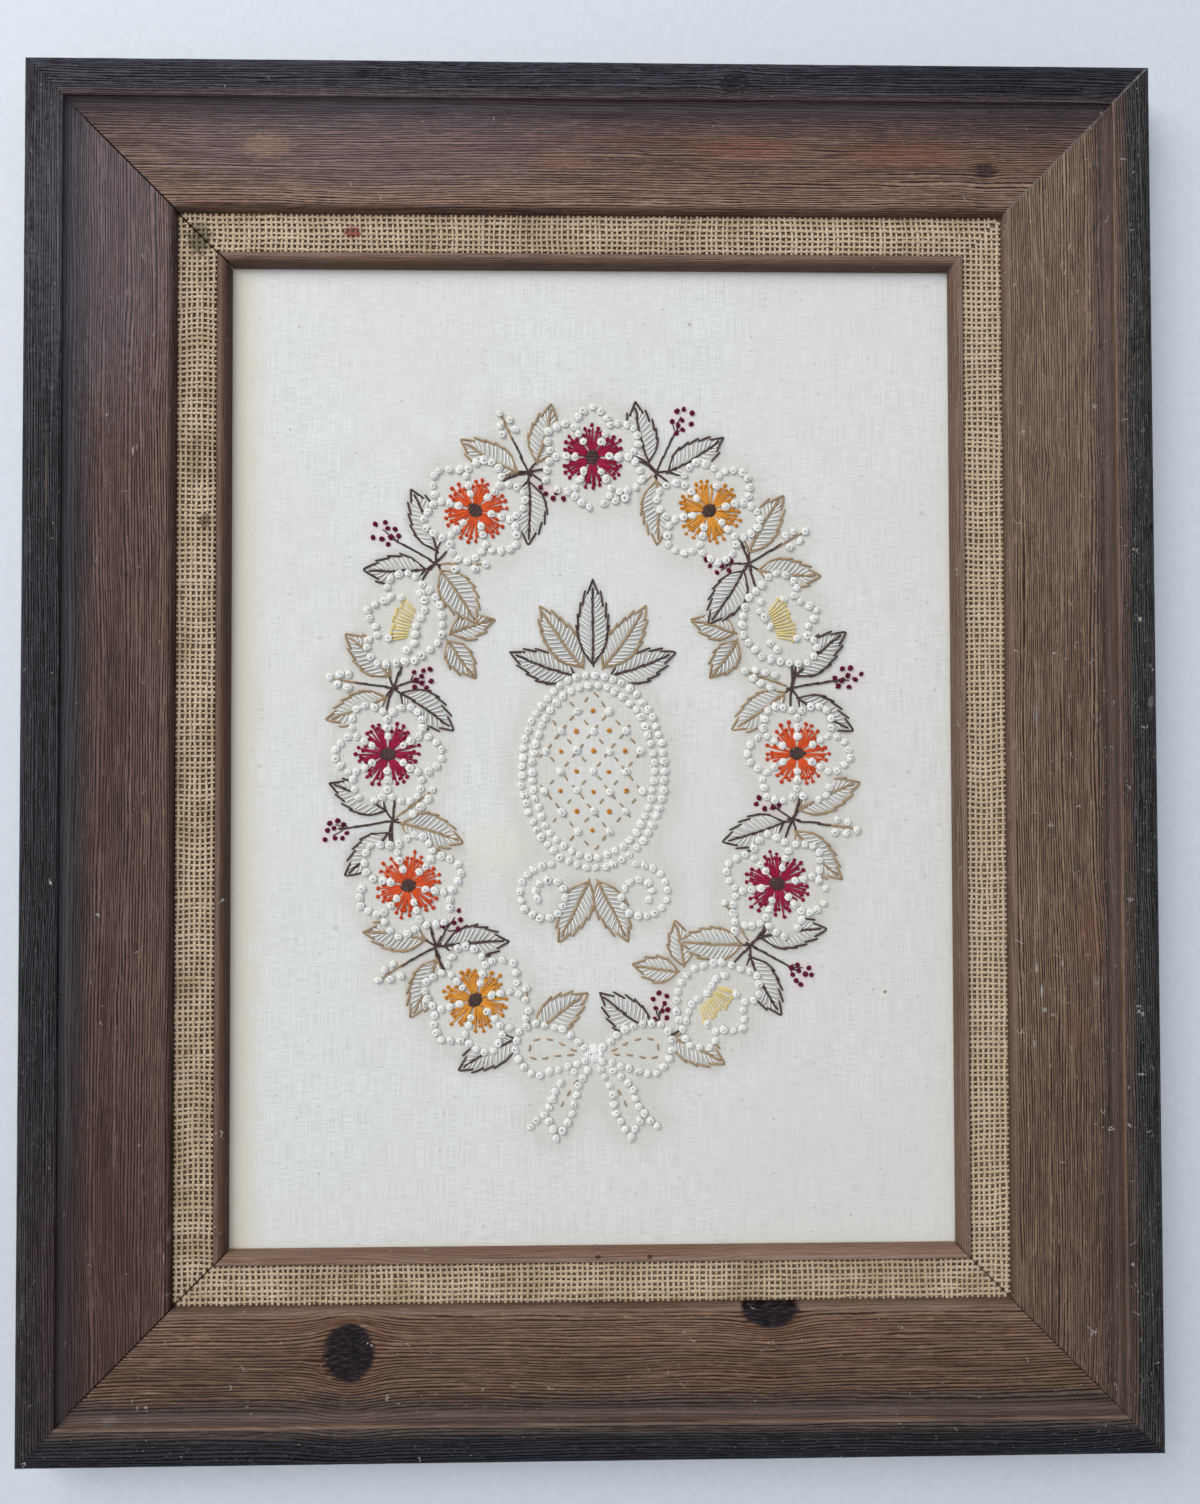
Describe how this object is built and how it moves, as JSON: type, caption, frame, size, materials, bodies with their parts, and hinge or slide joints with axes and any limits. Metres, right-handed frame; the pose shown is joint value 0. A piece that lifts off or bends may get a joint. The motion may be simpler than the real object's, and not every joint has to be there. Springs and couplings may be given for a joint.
{
  "type": "framed candlewick embroidery in its wooden picture frame",
  "caption": "Cotton cloth with raised candlewick knots and stitches, held in a wide mitred wooden frame with a woven burlap band.",
  "frame": {"origin": "on the surface that the frame lies on, under the middle of the frame", "axes": "+X to the right of the picture, +Y to its top, +Z out of its face"},
  "size_m": [0.449, 0.552, 0.028],
  "materials": {
    "brushed_wood": "wire-brushed pine, stained brown, with charcoal lip and satin coves",
    "burlap": "coarse plain-woven jute",
    "cotton": "cream cotton with raised cotton yarn"
  },
  "bodies": {
    "root": {"rail_top": "brushed_wood", "rail_bottom": "brushed_wood", "rail_left": "brushed_wood", "rail_right": "brushed_wood", "burlap_top": "burlap", "burlap_bottom": "burlap", "burlap_left": "burlap", "burlap_right": "burlap", "embroidered_cloth": "cotton"}
  },
  "joints": []
}
